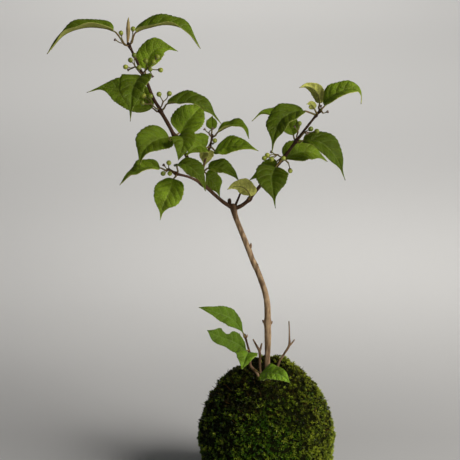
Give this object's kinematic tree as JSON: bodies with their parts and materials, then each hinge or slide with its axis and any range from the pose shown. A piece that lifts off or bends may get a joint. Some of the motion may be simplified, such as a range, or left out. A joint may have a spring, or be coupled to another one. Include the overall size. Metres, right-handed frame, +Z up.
{
  "type": "kokedama moss ball plant",
  "caption": "House plant grown as a kokedama: a small leafy, berry-bearing shrub rooted in a soil ball wrapped in living moss, standing on its own flat spot.",
  "frame": {"origin": "middle of the small flat spot under the moss ball", "axes": "+Z up; -Y towards the side that the plant shows; the leader leans to -X"},
  "size_m": [0.1846, 0.0877, 0.3019],
  "materials": {
    "moss": "matte",
    "soil": "matte",
    "bark": "matte",
    "dry_wood": "matte",
    "leaf": "satin",
    "young_leaf": "satin",
    "berry": "satin"
  },
  "bodies": {
    "root": {"moss_coat": "moss", "soil_core": "soil", "stem": "bark", "shoot_low": "bark", "twig_dead_left": "dry_wood", "twig_dead_right": "dry_wood", "bud_tip": "young_leaf", "leaf_top_left": "leaf", "leaf_top_right": "leaf", "leaf_node1_back": "leaf", "leaf_node1_front": "leaf", "leaf_node2_left": "leaf", "leaf_node2_right": "leaf", "leaf_node3_back": "leaf", "leaf_node3_left": "leaf", "leaf_node3_front": "leaf", "leaf_side_left": "leaf", "leaf_side_down": "leaf", "leaf_side_right": "leaf", "leaf_inner1_right": "leaf", "leaf_inner1_low": "leaf", "leaf_inner2_right": "leaf", "leaf_inner2_left": "leaf", "leaf_inner2_back": "leaf", "leaf_inner3_right": "leaf", "leaf_inner3_up": "leaf", "leaf_fork_under": "leaf", "leaf_right1_front": "leaf", "leaf_right1_left": "leaf", "leaf_right1_right": "leaf", "leaf_right2_right": "leaf", "leaf_right2_left": "leaf", "leaf_right3_left": "leaf", "leaf_right3_small": "leaf", "leaf_right4_left": "leaf", "leaf_right4_right": "leaf", "leaf_low_top": "leaf", "leaf_low_middle": "leaf", "leaf_low_front": "leaf", "leaf_low_right": "leaf", "berries_top_left": "berry", "berries_top_right": "berry", "berries_node1_left": "berry", "berries_node1_right": "berry", "berries_node2_left": "berry", "berries_node2_right": "berry", "berries_side": "berry", "berries_inner2": "berry", "berries_inner3": "berry", "berries_right1": "berry", "berries_right1_low": "berry", "berries_right2_left": "berry", "berries_right2_right": "berry", "berries_right4": "berry"}
  },
  "joints": []
}
